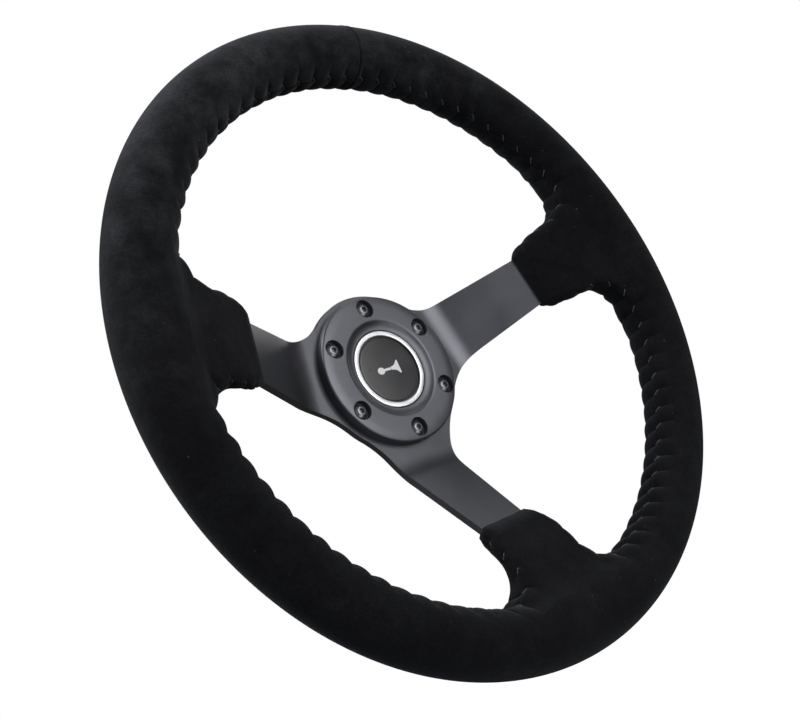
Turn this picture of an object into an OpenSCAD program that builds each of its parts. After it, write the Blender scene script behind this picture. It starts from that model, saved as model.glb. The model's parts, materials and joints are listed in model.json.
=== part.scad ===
// Deep-dish steering wheel: three bent spokes, a suede-covered grip and a sprung horn button.
// It stands upright: +Z is 12 o'clock, +X is the driver's right and the driver is at -Y.
// The origin is the centre of the mounting face at the back of the hub.
// Every piece is drawn lying flat, with z as the height above the mounting face, towards
// the driver, and y as 12 o'clock. upright() then stands it up.

/* [Rim] */
// Diameter over the outside of the grip
rim_diameter = 350; // [340:1:360]
// Radius of the grip's round section
grip_radius = 16; // [15:0.5:17]
// Height of the rim's middle plane above the mounting face
dish_depth = 59; // [57:1:61]
// Thickness of the suede
suede_thickness = 1.2; // [0.8:0.1:1.6]
// Radius of the steel hoop inside the grip
hoop_radius = 5.5; // [4.5:0.5:6]
// How far the hoop sits behind the rim's middle plane
hoop_drop = 2; // [1:0.5:3]
// Distance between stitches along the inside of the rim
stitch_pitch = 10.6; // [6:0.1:14]

/* [Spokes] */
// Thickness of the spoke plate
plate_thickness = 4; // [3.5:0.5:4.5]
// Radius of the plate's hub disc
hub_radius = 44.8; // [44:0.1:46]
// Radius of the hole in the hub disc
hub_hole_radius = 27; // [26.7:0.1:27.5]
// Radius of the curve from the hub disc into a side spoke's upper edge
upper_root_radius = 30; // [25:1:35]
// Radius of the curve from the hub disc into every other spoke edge
lower_root_radius = 52; // [45:1:58]
// Angle of the side spokes above the horizontal
side_spoke_rise = 11.4; // [5:0.2:14]
// Slope of a spoke between its two bends
spoke_slope = 37.3; // [36:0.1:39]
// Distance from the centre to the bend at the hub
hub_bend_at = 54.6; // [54:0.1:56]
// Half width of a spoke at the bend at the hub
spoke_half_width = 17.9; // [16:0.1:19]
// Loss of half width for each millimetre outwards
spoke_taper = 0.067; // [0.05:0.001:0.08]
// Radius of both bends, to the middle of the plate
bend_radius = 24; // [14:1:25]

/* [Boots] */
// Distance from the centre to the end of a spoke's suede boot
boot_start = 99.5; // [98:0.5:101]
// Suede over the spoke at the boot's end, all round
boot_end_cover = 1.6; // [1.4:0.1:1.8]
// Distance over which a boot swells to its full width and thickness
boot_shoulder = 8.5; // [6:0.5:10]
// Half width of a boot past its shoulder
boot_half_width = 19.8; // [19:0.1:20.5]
// Gain of half width for each millimetre outwards
boot_flare = 0.25; // [0.2:0.01:0.28]
// Radius of the curve from a boot's edge into the rim
boot_fillet_radius = 17; // [16:1:22]
// Padding and suede over each face of the spoke, past the shoulder
boot_padding = 4.8; // [4:0.1:5]

/* [Horn ring] */
// Radius of the ring that clamps the horn button
ring_radius = 42; // [41:0.5:43]
// Thickness of the ring
ring_thickness = 6.5; // [6:0.5:8]
// Diameter of the circle of mounting screws
bolt_circle = 70; // [70:1:70]
// Radius of a clearance hole for a mounting screw
bolt_hole_radius = 2.75; // [2.7:0.05:2.9]
// Radius of the ring's hole around the button
ring_hole_radius = 22.6; // [22.5:0.1:22.8]

/* [Horn button] */
// Radius of the bright bezel
bezel_radius = 22.2; // [22:0.1:22.3]
// Travel of the button
button_travel = 1.8; // [1:0.1:2]
// Radius of the button housing's body
housing_radius = 26.5; // [26.3:0.1:26.6]
// Depth of the housing behind the mounting face
housing_depth = 10; // [9.5:0.5:12]
// Number of return springs
spring_count = 3; // [3:1:3]

/* [Hidden] */
$fn = 96;

bolt_count = 6;
overlap = 1;                 // how far a cutting shape runs past a face
touch = 0.02;                // gap between faces that bear on each other
rim_radius = rim_diameter / 2 - grip_radius;
spoke_angles = [side_spoke_rise, 180 - side_spoke_rise, 270];
root_radii = [[upper_root_radius, lower_root_radius], [lower_root_radius, upper_root_radius],
    [lower_root_radius, lower_root_radius]];

// Spoke plate
hoop_height = dish_depth - hoop_drop;
tab_front = hoop_height - hoop_radius - touch;
tab_middle = tab_front - plate_thickness / 2;
rim_bend_at = hub_bend_at + (tab_middle - plate_thickness / 2) / tan(spoke_slope);
curve_steps = 12;            // flats along a curve of the plate's outline or profile
weld_radius = 1.6;
weld_reach = sqrt(pow(hoop_radius + weld_radius + touch, 2) - pow(hoop_radius - weld_radius, 2));
tab_end_radius = rim_radius + weld_reach + weld_radius;
weld_half_angle = 4;
shoulder_steps = 3;          // flats along a boot's shoulder

// Horn ring and its screws
ring_front = plate_thickness + ring_thickness;
ring_edge_round = 1.3;
ring_dome_radius = 30;           // of the ring's face outside its flat
ring_dome_turn = 8;
recess_radius = 28.5;        // mouth of the dished recess around the button
recess_depth = 2.15;
mouth_round = 2.5;
pocket_radius = 29.2;        // pocket in the ring's back for the housing's flange
pocket_depth = 2.6;
counterbore_radius = 5.3;
counterbore_floor = ring_front - 3.4;
screw_head_radius = 4.7;
screw_head_height = 2.7;
screw_length = 16;           // under the head
screw_radius = 2.5;
shank_radius = 2.25;
socket_across_flats = 3;

// Button housing and what it holds
flange_radius = 28.9;
flange_thickness = 1.8;
flange_top = plate_thickness + flange_thickness;
gasket_top = plate_thickness + pocket_depth;
gasket_hole_radius = 23.2;
front_bore = 24.3;           // where the plunger slides
rear_bore = 20.6;
cover_bore = 22.4;           // where the insulator seats
bore_shoulder = -0.3;        // height of the step that stops the plunger
groove_radius = 25.3;
groove_floor = 3.85;
groove_height = 1.1;
insulator_thickness = 2;
insulator_top = insulator_thickness - housing_depth;
cover_thickness = 1.6;
cover_back = -housing_depth - cover_thickness;
cover_screw_circle = 24.2;
cover_screw_radius = 1.2;
cover_screw_count = 3;

// Moving button
plunger_flange_radius = 23.9;
plunger_bottom = bore_shoulder + button_travel + 0.3;
plunger_flange_top = 3.8;
plunger_radius = 20.6;
plunger_top = 6.9;
plunger_hollow_radius = 18.6;
plunger_hollow_top = 4.9;
bezel_skirt_bottom = 5.4;
bezel_top = 8.65;
bezel_hole_radius = 19.3;
bezel_edge_round = 0.7;
cap_radius = 18.5;
cap_edge_height = 0.8;
cap_crown = 0.4;
peg_radius = 1.5;

// Contacts, springs and terminals
contact_disc_radius = 18.4;
contact_disc_thickness = 0.8;
contact_disc_bottom = plunger_hollow_top - contact_disc_thickness;
contact_boss_radius = 4;
contact_boss_bottom = 0.8;
stud_top = contact_boss_bottom - button_travel - 0.05;
stud_post_radius = 3.2;
stud_head_radius = 5.5;
stud_head_height = 1.5;
stud_stem_radius = 2;
seat_thickness = 0.6;
seat_top = insulator_top + seat_thickness;
seat_hole_radius = 8.5;
seat_radius = 17.6;
spring_circle = 13;
coil_radius = 3.2;
wire_radius = 0.35;
coil_turns = 5;
ring_segments = 14;          // rings of points in one turn of a spring
wire_sides = 6;
rivet_angle = 30;
rivet_stem_radius = 1.5;
rivet_head_radius = 2.4;
rivet_head_height = 0.8;
blade_width = 6.3;
blade_thickness = 0.8;
blade_length = 8;
terminal_back = cover_back - blade_thickness;

// Stands a flat-drawn piece upright, with its front towards -Y
module upright() rotate([90, 0, 0]) children();

// Puts its children on each spoke, with x outwards along the spoke
module on_each_spoke() for (a = spoke_angles) rotate([0, 0, a]) children();

// Puts its children at each mounting screw
module at_each_bolt() {
    for (i = [0 : bolt_count - 1])
        rotate([0, 0, 90 + i * 360 / bolt_count]) translate([bolt_circle / 2, 0, 0]) children();
}

// A cylinder between two heights
module drum(radius, bottom, top) translate([0, 0, bottom]) cylinder(r = radius, h = top - bottom);

// A tube between two heights
module sleeve(outer, inner, bottom, top) {
    difference() {
        drum(outer, bottom, top);
        drum(inner, bottom - overlap, top + overlap);
    }
}

// A round bar bent into a ring, at a height
module round_ring(ring, bar, height) {
    translate([0, 0, height]) rotate_extrude() translate([ring, 0]) circle(bar);
}

// ---- Spoke plate ----

// Half width of a spoke at a distance from the centre
function spoke_edge(s) = spoke_half_width - spoke_taper * (s - hub_bend_at);

// Where a circle touches the straight edge y = start + slope * x and lies at a distance
// from the origin: the circle's centre
function fillet_centre(start, slope, radius, distance) =
    let (c = start + radius * sqrt(1 + slope * slope), q = 1 + slope * slope)
    let (x = (sqrt(slope * slope * c * c - q * (c * c - distance * distance)) - slope * c) / q)
    [x, c + slope * x];

// Where the circle touches that edge
function fillet_foot(centre, slope, radius) =
    centre + radius / sqrt(1 + slope * slope) * [slope, -1];

// Points along a round bend of a line that turns by the spoke's slope at a corner. The line
// lies a distance to the left of the plate's middle; flip is 1 where the bend goes back down.
function bend_line(kink, flip, left) =
    let (turn = flip > 0 ? -1 : 1, from = flip > 0 ? spoke_slope : 0)
    let (centre = kink + bend_radius / cos(spoke_slope / 2) * turn
        * [-sin(spoke_slope / 2), cos(spoke_slope / 2)])
    [for (i = [0 : curve_steps]) let (a = from + turn * spoke_slope * i / curve_steps)
        centre + (left - turn * bend_radius) * [-sin(a), cos(a)]];

// The plate seen from the side, from the centre out to the tab under the hoop
module spoke_profile(grow) {
    half = plate_thickness / 2 + grow;
    end = tab_end_radius + overlap;
    kinks = [[hub_bend_at, plate_thickness / 2], [rim_bend_at, tab_middle]];
    back = concat(bend_line(kinks[0], 0, -half), bend_line(kinks[1], 1, -half));
    front = concat(bend_line(kinks[0], 0, half), bend_line(kinks[1], 1, half));
    polygon(concat([[0, kinks[0].y - half]], back, [[end, kinks[1].y - half]],
        [[end, kinks[1].y + half]], [for (i = [len(front) - 1 : -1 : 0]) front[i]],
        [[0, kinks[0].y + half]]));
}

// One edge of a spoke seen from the front, with the curve that joins it to the hub disc
function spoke_side(radius, grow) =
    let (reach = hub_radius + radius)
    let (centre = fillet_centre(spoke_edge(0), -spoke_taper, radius, reach))
    let (from = atan2(-centre.y, -centre.x), to = -90 - atan(spoke_taper))
    let (end = sqrt(pow(tab_end_radius, 2) - pow(spoke_edge(tab_end_radius), 2)))
    concat([centre * (hub_radius - overlap) / reach],
        [for (i = [0 : curve_steps]) let (a = from + (to - from) * i / curve_steps)
            centre + (radius - grow) * [cos(a), sin(a)]],
        [[end + grow, spoke_edge(end) + grow]]);

// One spoke seen from the front, with the root radii of its counterclockwise and clockwise edges
module spoke_outline(radii, grow) {
    left = spoke_side(radii[0], grow);
    right = spoke_side(radii[1], grow);
    polygon(concat(left, [for (i = [len(right) - 1 : -1 : 0]) [right[i].x, -right[i].y]]));
}

// The three spokes without the hub disc
module bent_spokes(grow = 0) {
    for (i = [0 : len(spoke_angles) - 1]) rotate([0, 0, spoke_angles[i]]) intersection() {
        linear_extrude(height = 2 * dish_depth, center = true) spoke_outline(root_radii[i], grow);
        rotate([90, 0, 0]) linear_extrude(height = 4 * hub_radius, center = true) spoke_profile(grow);
    }
}

module spoke_frame() {
    color("dimgray") upright() difference() {
        union() {
            drum(hub_radius, 0, plate_thickness);
            bent_spokes();
        }
        drum(hub_hole_radius, -overlap, plate_thickness + overlap);
        at_each_bolt() drum(bolt_hole_radius, -overlap, plate_thickness + overlap);
    }
}

// ---- Rim ----

module rim_hoop() {
    color("silver") upright() round_ring(rim_radius, hoop_radius, hoop_height);
}

// Beads of weld along both sides of the hoop, on each spoke's tab
module weld_beads(grow = 0) {
    for (side = [-1, 1])
        on_each_spoke() rotate([0, 0, -weld_half_angle])
            translate([0, 0, tab_front + weld_radius + touch])
                rotate_extrude(angle = 2 * weld_half_angle)
                    translate([rim_radius + side * weld_reach, 0]) circle(weld_radius + grow);
}

module hoop_welds() {
    color("lightgray") upright() weld_beads();
}

// Points along the quarter curve of a boot's shoulder, from its end to its full size
function shoulder(from, to) =
    [for (i = [0 : shoulder_steps]) let (a = 90 * i / shoulder_steps)
        [from.x + (to.x - from.x) * (1 - cos(a)), from.y + (to.y - from.y) * sin(a)]];

// A boot seen from the front, smaller all round by the inset
module boot_outline(inset) {
    full_at = boot_start + boot_shoulder;
    edge_start = boot_half_width - boot_flare * full_at;
    rim_inside = rim_radius - grip_radius + overlap;
    centre = fillet_centre(edge_start, boot_flare, boot_fillet_radius, rim_inside - boot_fillet_radius);
    foot = fillet_foot(centre, boot_flare, boot_fillet_radius);
    inside_rim = centre * (rim_inside + grip_radius / 2) / norm(centre);
    edge = concat(
        shoulder([boot_start + inset, spoke_edge(boot_start) + boot_end_cover - inset],
            [full_at, boot_half_width - inset]),
        [foot - [0, inset], centre, inside_rim]);
    difference() {
        polygon(concat(edge, [[rim_radius, 0]],
            [for (i = [len(edge) - 1 : -1 : 0]) [edge[i].x, -edge[i].y]]));
        for (side = [1, -1])
            translate([centre.x, side * centre.y]) circle(boot_fillet_radius + inset);
    }
}

// A boot seen from the side: it swells from the spoke and widens into the rim
module boot_profile(inset) {
    start = boot_start + inset;
    full_at = boot_start + boot_shoulder;
    section = grip_radius - inset;
    front_swell = 4 - inset;
    back_swell = 4.5 - inset;
    // Height of the boot's front or back over the spoke's sloping middle
    function cover(at, padding, side) = plate_thickness / 2 + (at - hub_bend_at) * tan(spoke_slope)
        + side * (plate_thickness / 2 + padding - inset) / cos(spoke_slope);
    function face(side) = shoulder([start, cover(start, boot_end_cover, side)],
        [full_at, cover(full_at, boot_padding, side)]);
    front = face(1);
    back = face(-1);
    polygon(concat(front, [
        [rim_bend_at, tab_front + front_swell],
        [rim_radius - 3, dish_depth + section - 3.5],
        [rim_radius, dish_depth],
        [rim_radius - 7, dish_depth - section + 4],
        [rim_bend_at + 4, tab_front - plate_thickness - back_swell]
    ], [for (i = [len(back) - 1 : -1 : 0]) back[i]]));
}

// The whole grip, rim and boots, smaller all round by the inset
module grip_shape(inset) {
    round_ring(rim_radius, grip_radius - inset, dish_depth);
    on_each_spoke() intersection() {
        linear_extrude(height = 2 * dish_depth) boot_outline(inset);
        rotate([90, 0, 0]) linear_extrude(height = rim_radius, center = true) boot_profile(inset);
    }
}

module grip_foam() {
    clearance = 0.05;
    color("darkslategray") upright() difference() {
        grip_shape(suede_thickness + 0.1);
        round_ring(rim_radius, hoop_radius + clearance, hoop_height);
        bent_spokes(clearance);
        weld_beads(clearance);
    }
}

module suede_wrap() {
    color("black") upright() difference() {
        grip_shape(0);
        grip_shape(suede_thickness);
        bent_spokes(0.1);
    }
}

// Single slanted stitches along the inside of the rim, between the boots
module rim_stitching() {
    thread_radius = 0.45;
    stitch_length = 7;
    slant = 25;
    boot_half_angle = 22;
    stitch_ring = rim_radius - grip_radius - thread_radius - 0.1;
    next_spoke = [spoke_angles[1], spoke_angles[2], spoke_angles[0] + 360];
    color("black") upright() for (w = [0 : 2]) {
        first = spoke_angles[w] + boot_half_angle;
        span = next_spoke[w] - boot_half_angle - first;
        count = floor(span * PI / 180 * stitch_ring / stitch_pitch);
        for (i = [0 : count - 1])
            rotate([0, 0, first + (i + 0.5) * span / count])
                translate([stitch_ring, 0, dish_depth]) rotate([90 - slant, 0, 0])
                    cylinder(r = thread_radius, h = stitch_length, center = true, $fn = 16);
    }
}

// ---- Horn ring ----

// Points along an arc of a section, without its first where that is already there
function arc(centre, radius, from, to, first = 0) =
    [for (i = [first : curve_steps]) let (a = from + (to - from) * i / curve_steps)
        centre + radius * [cos(a), sin(a)]];

// The ring's section: rounded outside, pocketed behind, and dished towards the button in a
// rounded mouth and a hollow that turn by the same angle
module ring_section() {
    edge_centre = [ring_radius - ring_edge_round, ring_front
        - ring_dome_radius * (1 - cos(ring_dome_turn)) - ring_edge_round * cos(ring_dome_turn)];
    dome_centre = [edge_centre.x + (ring_edge_round - ring_dome_radius) * sin(ring_dome_turn),
        ring_front - ring_dome_radius];
    dish_width = recess_radius - ring_hole_radius;
    turn = 2 * atan(recess_depth / dish_width);
    hollow_radius = dish_width / sin(turn) - mouth_round;
    hollow_centre = [ring_hole_radius, ring_front - recess_depth + hollow_radius];
    polygon(concat(
        [[ring_hole_radius, gasket_top], [pocket_radius, gasket_top]],
        [[pocket_radius, plate_thickness], [ring_radius, plate_thickness]],
        arc(edge_centre, ring_edge_round, 0, 90 - ring_dome_turn),
        arc(dome_centre, ring_dome_radius, 90 - ring_dome_turn, 90, 1),
        arc([recess_radius, ring_front - mouth_round], mouth_round, 90, 90 + turn),
        arc(hollow_centre, hollow_radius, 270 + turn, 270, first = 1)));
}

module horn_ring() {
    color("dimgray") upright() difference() {
        rotate_extrude() ring_section();
        at_each_bolt() {
            drum(bolt_hole_radius, 0, ring_front + overlap);
            drum(counterbore_radius, counterbore_floor, ring_front + overlap);
        }
    }
}

// Button-head socket screws; their threaded ends stand out behind the hub
module ring_screws() {
    dome_flat_radius = 2.3;
    rim_height = 0.3;
    dome_drop = (screw_head_radius * screw_head_radius - dome_flat_radius * dome_flat_radius
        - screw_head_height * screw_head_height + rim_height * rim_height)
        / (2 * (screw_head_height - rim_height));
    dome_radius = norm([screw_head_radius, rim_height + dome_drop]);
    tip = counterbore_floor - screw_length;
    point = 0.5;
    color("black") upright() at_each_bolt() difference() {
        union() {
            translate([0, 0, counterbore_floor]) intersection() {
                cylinder(r = screw_head_radius, h = screw_head_height);
                translate([0, 0, -dome_drop]) sphere(dome_radius);
            }
            drum(shank_radius, -touch, counterbore_floor + touch);
            drum(screw_radius, tip + point, 0);
            translate([0, 0, tip]) cylinder(r1 = screw_radius - point, r2 = screw_radius, h = point);
        }
        translate([0, 0, counterbore_floor + screw_head_height - 1.7])
            cylinder(d = socket_across_flats / cos(30), h = 1.7 + overlap, $fn = 6);
    }
}

// ---- Horn button, fixed pieces ----

// Puts its children at each screw of the rear cover
module at_each_cover_screw() {
    for (i = [0 : cover_screw_count - 1])
        rotate([0, 0, i * 360 / cover_screw_count]) translate([cover_screw_circle, 0, 0]) children();
}

// Puts its children at the rivet of the ground terminal
module at_ground_rivet() rotate([0, 0, rivet_angle]) translate([spring_circle, 0, 0]) children();

module button_housing() {
    color("black") upright() difference() {
        union() {
            drum(housing_radius, -housing_depth, flange_top);
            drum(flange_radius, plate_thickness, flange_top);
        }
        drum(front_bore, bore_shoulder, flange_top + overlap);
        drum(rear_bore, -housing_depth - overlap, flange_top);
        drum(cover_bore, -housing_depth - overlap, insulator_top);
        drum(groove_radius, groove_floor, groove_floor + groove_height);
        at_each_cover_screw() drum(cover_screw_radius + 0.05, -housing_depth - overlap, -3.5);
    }
}

module housing_gasket() {
    color("dimgray") upright() sleeve(flange_radius, gasket_hole_radius, flange_top, gasket_top);
}

// A snap ring in the housing's groove that keeps the plunger in
module retaining_ring() {
    gap_angle = 24;
    color("silver") upright() rotate([0, 0, gap_angle / 2])
        rotate_extrude(angle = 360 - gap_angle)
            translate([bezel_radius + 0.7, groove_floor + 0.05])
                square([groove_radius - bezel_radius - 0.8, groove_height - 0.1]);
}

module insulator_disc() {
    color("saddlebrown") upright() difference() {
        drum(cover_bore - 0.2, -housing_depth, insulator_top);
        drum(stud_stem_radius + 0.1, -housing_depth - overlap, insulator_top + overlap);
        at_ground_rivet() drum(rivet_stem_radius + 0.1, -housing_depth - overlap, insulator_top + overlap);
    }
}

module rear_cover() {
    color("black") upright() difference() {
        drum(housing_radius - 0.2, cover_back, -housing_depth);
        drum(stud_stem_radius + 0.1, cover_back - overlap, 0);
        at_ground_rivet() drum(rivet_stem_radius + 0.1, cover_back - overlap, 0);
        at_each_cover_screw() drum(cover_screw_radius + 0.15, cover_back - overlap, 0);
    }
}

module cover_screws() {
    head_radius = 2;
    head_height = 1.4;
    slot_width = 0.6;
    color("silver") upright() at_each_cover_screw() difference() {
        union() {
            drum(cover_screw_radius, cover_back - head_height, -4.5);
            drum(head_radius, cover_back - head_height, cover_back);
        }
        for (a = [0, 90]) rotate([0, 0, a])
            translate([-slot_width / 2, -1.4, cover_back - head_height - overlap])
                cube([slot_width, 2.8, 0.8 + overlap]);
    }
}

// The plate that the springs stand on, joined to the ground terminal
module ground_ring() {
    color("goldenrod") upright() difference() {
        sleeve(seat_radius, seat_hole_radius, insulator_top, seat_top);
        at_ground_rivet() drum(rivet_stem_radius + 0.05, insulator_top - overlap, seat_top + overlap);
    }
}

// The fixed live contact: a post in front, a riveted stem behind
module contact_stud() {
    color("goldenrod") upright() {
        drum(stud_post_radius, insulator_top, stud_top);
        drum(stud_head_radius, insulator_top, insulator_top + stud_head_height);
        drum(stud_stem_radius, terminal_back - 1, insulator_top + touch);
        drum(stud_stem_radius + 1.4, terminal_back - 1, terminal_back);
    }
}

module ground_rivet() {
    color("goldenrod") upright() at_ground_rivet() {
        drum(rivet_head_radius, seat_top, seat_top + rivet_head_height);
        drum(rivet_stem_radius, terminal_back - rivet_head_height, seat_top + touch);
        drum(rivet_head_radius, terminal_back - rivet_head_height, terminal_back);
    }
}

// A blade terminal: an eye on the rear cover, a foot outwards and a blade bent backwards
module blade_terminal(hole_radius, eye_radius, foot) {
    half = blade_width / 2;
    difference() {
        union() {
            drum(eye_radius, terminal_back, cover_back);
            translate([0, -half, terminal_back]) cube([foot, blade_width, blade_thickness]);
            translate([foot - blade_thickness, -half, terminal_back - blade_length])
                cube([blade_thickness, blade_width, blade_length + blade_thickness]);
        }
        drum(hole_radius, terminal_back - overlap, cover_back + overlap);
    }
}

module live_terminal() {
    color("goldenrod") upright() rotate([0, 0, rivet_angle + 180])
        blade_terminal(stud_stem_radius + 0.05, 4.2, 9);
}

module ground_terminal() {
    color("goldenrod") upright() at_ground_rivet()
        blade_terminal(rivet_stem_radius + 0.05, 3.6, 7);
}

// ---- Horn button, moving pieces ----

module button_plunger() {
    color("black") upright() difference() {
        union() {
            drum(plunger_radius, plunger_bottom, plunger_top);
            drum(plunger_flange_radius, plunger_bottom, plunger_flange_top);
        }
        drum(plunger_hollow_radius, plunger_bottom - overlap, plunger_hollow_top);
        drum(peg_radius + 0.05, plunger_bottom, plunger_hollow_top + 1.2);
    }
}

// The bright ring pressed over the plunger
module bezel_ring() {
    round_at = [bezel_radius - bezel_edge_round, bezel_top - bezel_edge_round];
    color("silver") upright() rotate_extrude() {
        difference() {
            union() {
                translate([bezel_hole_radius, plunger_top])
                    square([round_at.x - bezel_hole_radius, bezel_top - plunger_top]);
                translate([plunger_radius, bezel_skirt_bottom])
                    square([bezel_radius - plunger_radius, round_at.y - bezel_skirt_bottom]);
                translate(round_at) circle(bezel_edge_round);
            }
            // The inner edge slopes down to the cap
            polygon([[bezel_hole_radius, bezel_top - 0.45], [bezel_hole_radius + 0.45, bezel_top],
                [bezel_hole_radius - overlap, bezel_top + overlap]]);
        }
    }
}

// The slightly crowned cap inside the bezel
module button_cap() {
    steps = 8;
    crown_top = plunger_top + cap_edge_height + cap_crown;
    color("black") upright() rotate_extrude() polygon(concat(
        [[0, plunger_top], [cap_radius, plunger_top]],
        [for (i = [steps : -1 : 0])
            [cap_radius * i / steps, crown_top - cap_crown * pow(i / steps, 2)]]));
}

// The moving contact under the plunger, with a peg up into it
module upper_contact() {
    color("goldenrod") upright() {
        drum(contact_disc_radius, contact_disc_bottom, plunger_hollow_top);
        drum(contact_boss_radius, contact_boss_bottom, contact_disc_bottom + touch);
        drum(peg_radius, contact_disc_bottom, plunger_hollow_top + 1);
    }
}

// One coil spring, swept along a helix from its bottom to its top
module coil_spring(bottom, top) {
    rings = coil_turns * ring_segments;
    climb = (top - bottom - 2 * (wire_radius + touch)) / rings;
    points = [for (i = [0 : rings]) for (k = [0 : wire_sides - 1])
        let (a = i * 360 / ring_segments, b = k * 360 / wire_sides)
        let (r = coil_radius + wire_radius * cos(b))
        [r * cos(a), r * sin(a), bottom + wire_radius + touch + i * climb + wire_radius * sin(b)]];
    walls = [for (i = [0 : rings - 1]) for (k = [0 : wire_sides - 1])
        let (next = (k + 1) % wire_sides)
        [i * wire_sides + k, (i + 1) * wire_sides + k, (i + 1) * wire_sides + next, i * wire_sides + next]];
    ends = [[for (k = [0 : wire_sides - 1]) k],
        [for (k = [wire_sides - 1 : -1 : 0]) rings * wire_sides + k]];
    polyhedron(points, concat(walls, ends));
}

module return_springs() {
    color("silver") upright() for (i = [0 : spring_count - 1])
        rotate([0, 0, 90 + i * 360 / spring_count]) translate([spring_circle, 0, 0])
            coil_spring(seat_top, contact_disc_bottom);
}

spoke_frame();
rim_hoop();
hoop_welds();
grip_foam();
suede_wrap();
rim_stitching();
horn_ring();
ring_screws();
button_housing();
housing_gasket();
retaining_ring();
button_plunger();
bezel_ring();
button_cap();
upper_contact();
return_springs();
ground_ring();
contact_stud();
insulator_disc();
rear_cover();
cover_screws();
live_terminal();
ground_terminal();
ground_rivet();
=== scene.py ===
"""Looks for the deep-dish steering wheel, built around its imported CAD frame.

Shapes are worked out in millimetres in the lying frame of the CAD source: z is the height above
the mounting face, towards the driver, y is 12 o'clock and x is the driver's right. stand() turns
such points into the row frame, in metres, where the driver is at -Y and 12 o'clock is +Z.
"""

import json
import math

import bmesh
import bpy
import numpy as np
from mathutils import Matrix, Vector
from mathutils.kdtree import KDTree


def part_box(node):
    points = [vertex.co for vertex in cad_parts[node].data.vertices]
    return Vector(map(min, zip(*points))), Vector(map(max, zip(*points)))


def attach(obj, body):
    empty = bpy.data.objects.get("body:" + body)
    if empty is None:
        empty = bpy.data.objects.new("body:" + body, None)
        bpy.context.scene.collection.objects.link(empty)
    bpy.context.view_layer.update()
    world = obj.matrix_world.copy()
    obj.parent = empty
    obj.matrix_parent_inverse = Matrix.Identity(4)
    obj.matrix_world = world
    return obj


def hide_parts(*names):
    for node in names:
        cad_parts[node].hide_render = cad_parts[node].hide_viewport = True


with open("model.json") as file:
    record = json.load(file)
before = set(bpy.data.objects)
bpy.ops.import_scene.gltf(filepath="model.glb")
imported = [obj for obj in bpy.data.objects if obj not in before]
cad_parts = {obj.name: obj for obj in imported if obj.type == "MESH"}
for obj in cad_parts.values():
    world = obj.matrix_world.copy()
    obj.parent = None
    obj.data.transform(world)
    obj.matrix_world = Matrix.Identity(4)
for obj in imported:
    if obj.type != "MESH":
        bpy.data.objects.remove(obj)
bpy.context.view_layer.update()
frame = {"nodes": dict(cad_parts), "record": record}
MM = 0.001


def lying_box(node):
    """A CAD node's lowest and highest x, y, z in the lying frame, in millimetres."""
    low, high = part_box(node)
    return (low.x / MM, low.z / MM, -high.y / MM), (high.x / MM, high.z / MM, -low.y / MM)


# ---- Sizes, from the frame ----

WHEEL, BUTTON = "wheel", "horn_button"

_, rim_high = lying_box("suede_wrap")
hoop_low, hoop_high = lying_box("rim_hoop")
HOOP_SECTION = (hoop_high[2] - hoop_low[2]) / 2
RIM_RADIUS = round(hoop_high[0] - HOOP_SECTION, 1)
GRIP = round(rim_high[0] - RIM_RADIUS, 1)
DISH = round(rim_high[2] - GRIP, 1)
PLATE = 4.0  # thickness of the spoke plate
HUB_RADIUS = 44.8
HUB_HOLE = 27.0
BOLT_CIRCLE = 70.0  # diameter of the circle of screws
BOLT_HOLE = 2.75  # radius of the screws' holes
SPOKE_ANGLES = (11.4, 168.6, 270.0)
SLOPE = math.radians(37.3)
HUB_BEND = 54.6  # where the spokes' slope starts, from the centre
HALF_WIDTH = 17.9  # of a spoke, there
TAPER = 0.067  # how fast the half width falls further out
TOUCH = 0.02  # gap between faces that bear on each other
TAB_MIDDLE = hoop_low[2] - TOUCH - PLATE / 2
RIM_BEND = HUB_BEND + (TAB_MIDDLE - PLATE / 2) / math.tan(SLOPE)
BEND_RADIUS = 24.0
BOOT_START = 99.5  # the boots' hem, from the centre
BOOT_COVER = 1.5  # thickness over the spoke at the hem


def spoke_edge(s):
    """Half width of a spoke at a distance from the centre."""
    return HALF_WIDTH - TAPER * (s - HUB_BEND)


def tangent_centre(start, slope, radius, reach):
    """Centre of a curve beside a straight edge, at a reach from the axis. start is the edge's at 0."""
    q = 1 + slope ** 2
    c = start + radius * math.sqrt(q)
    x = (math.sqrt((slope * c) ** 2 - q * (c * c - reach * reach)) - slope * c) / q
    return np.array([x, c + slope * x])


def at_bolts():
    """The centres of the six screws."""
    for i in range(6):
        a = math.radians(90 + 60 * i)
        yield BOLT_CIRCLE / 2 * math.cos(a), BOLT_CIRCLE / 2 * math.sin(a)


# ---- Camera ----

def add_camera():
    """The photograph's viewpoint: low on the driver's left, rolled, about 0.6 m away."""
    data = bpy.data.cameras.new("camera")
    camera = bpy.data.objects.new("camera", data)
    bpy.context.scene.collection.objects.link(camera)
    ahead = Vector((0.6724, 0.7274, 0.1368))
    up = Vector((0.2294, -0.3805, 0.8959))
    right = ahead.cross(up).normalized()
    up = right.cross(ahead).normalized()
    turn = Matrix((right, up, -ahead.normalized())).transposed()
    camera.matrix_world = Matrix.Translation((-0.3933, -0.4629, -0.1070)) @ turn.to_4x4()
    data.sensor_width = 36
    data.lens = 51.46
    data.shift_x = -0.053
    data.shift_y = 0.0433
    data.clip_start = 0.01
    bpy.context.scene.camera = camera


add_camera()


# ---- Mesh helpers ----

def stand(points):
    """Lying millimetres to the row frame in metres."""
    p = np.asarray(points, float).reshape(-1, 3)
    return np.stack([p[:, 0], -p[:, 2], p[:, 1]], 1) * MM


def circle(sides):
    """Evenly spaced angles around a circle."""
    return np.linspace(0, 2 * np.pi, sides, endpoint=False)


def unit(vectors):
    """Rows scaled to a length of 1."""
    return vectors / np.linalg.norm(vectors, axis=1)[:, None]


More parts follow.
